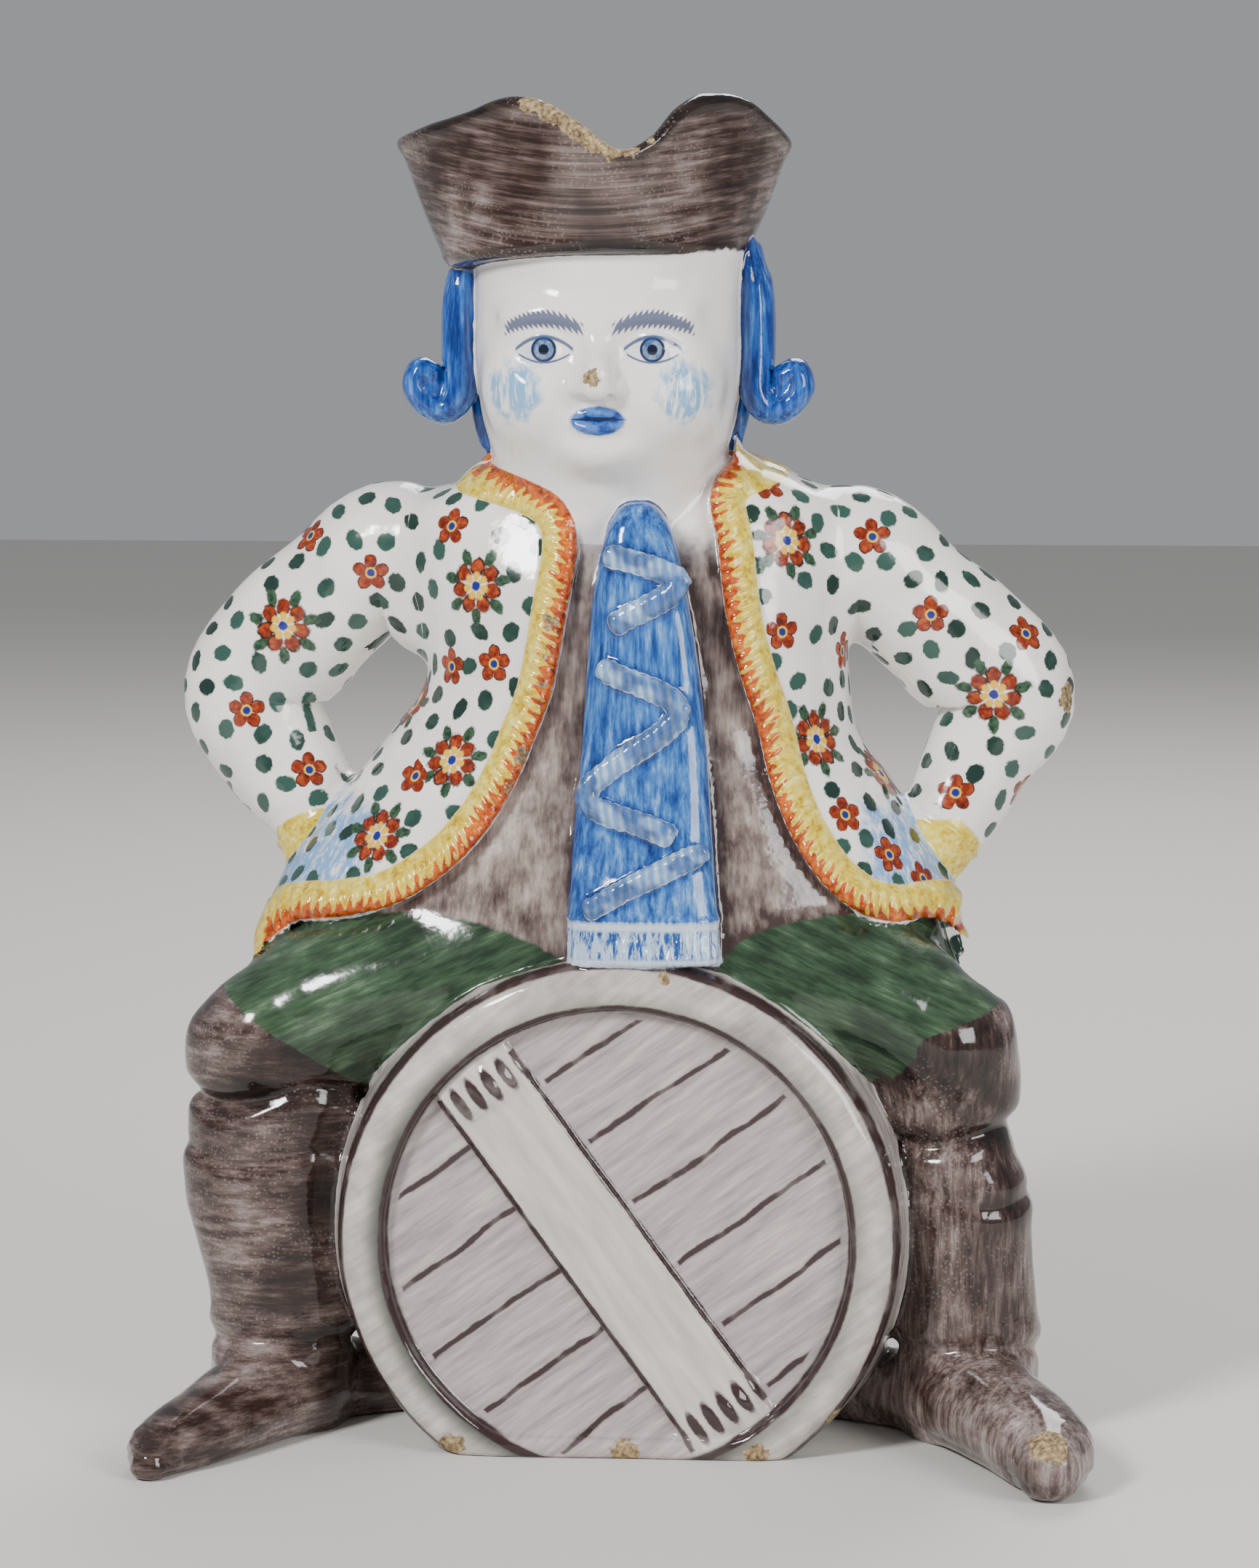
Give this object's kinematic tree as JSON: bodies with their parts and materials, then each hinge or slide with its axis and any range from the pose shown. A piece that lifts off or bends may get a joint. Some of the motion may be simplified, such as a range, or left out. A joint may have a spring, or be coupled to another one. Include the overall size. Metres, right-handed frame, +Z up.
{
  "type": "figural pitcher",
  "caption": "Delftware pitcher: a man in a cocked hat, flowered coat and boots sits astride a cask; the hat is the mouth and its front corner the spout.",
  "frame": {"origin": "middle of the flat underside of the cask, on the table", "axes": "+Z up, the figure and the head of the cask face -Y, +X is on the right of someone who looks at the figure's face"},
  "size_m": [0.2383, 0.1845, 0.3376],
  "materials": {
    "tin_glaze": "glossy"
  },
  "bodies": {
    "root": {"pitcher": "tin_glaze"}
  },
  "joints": []
}
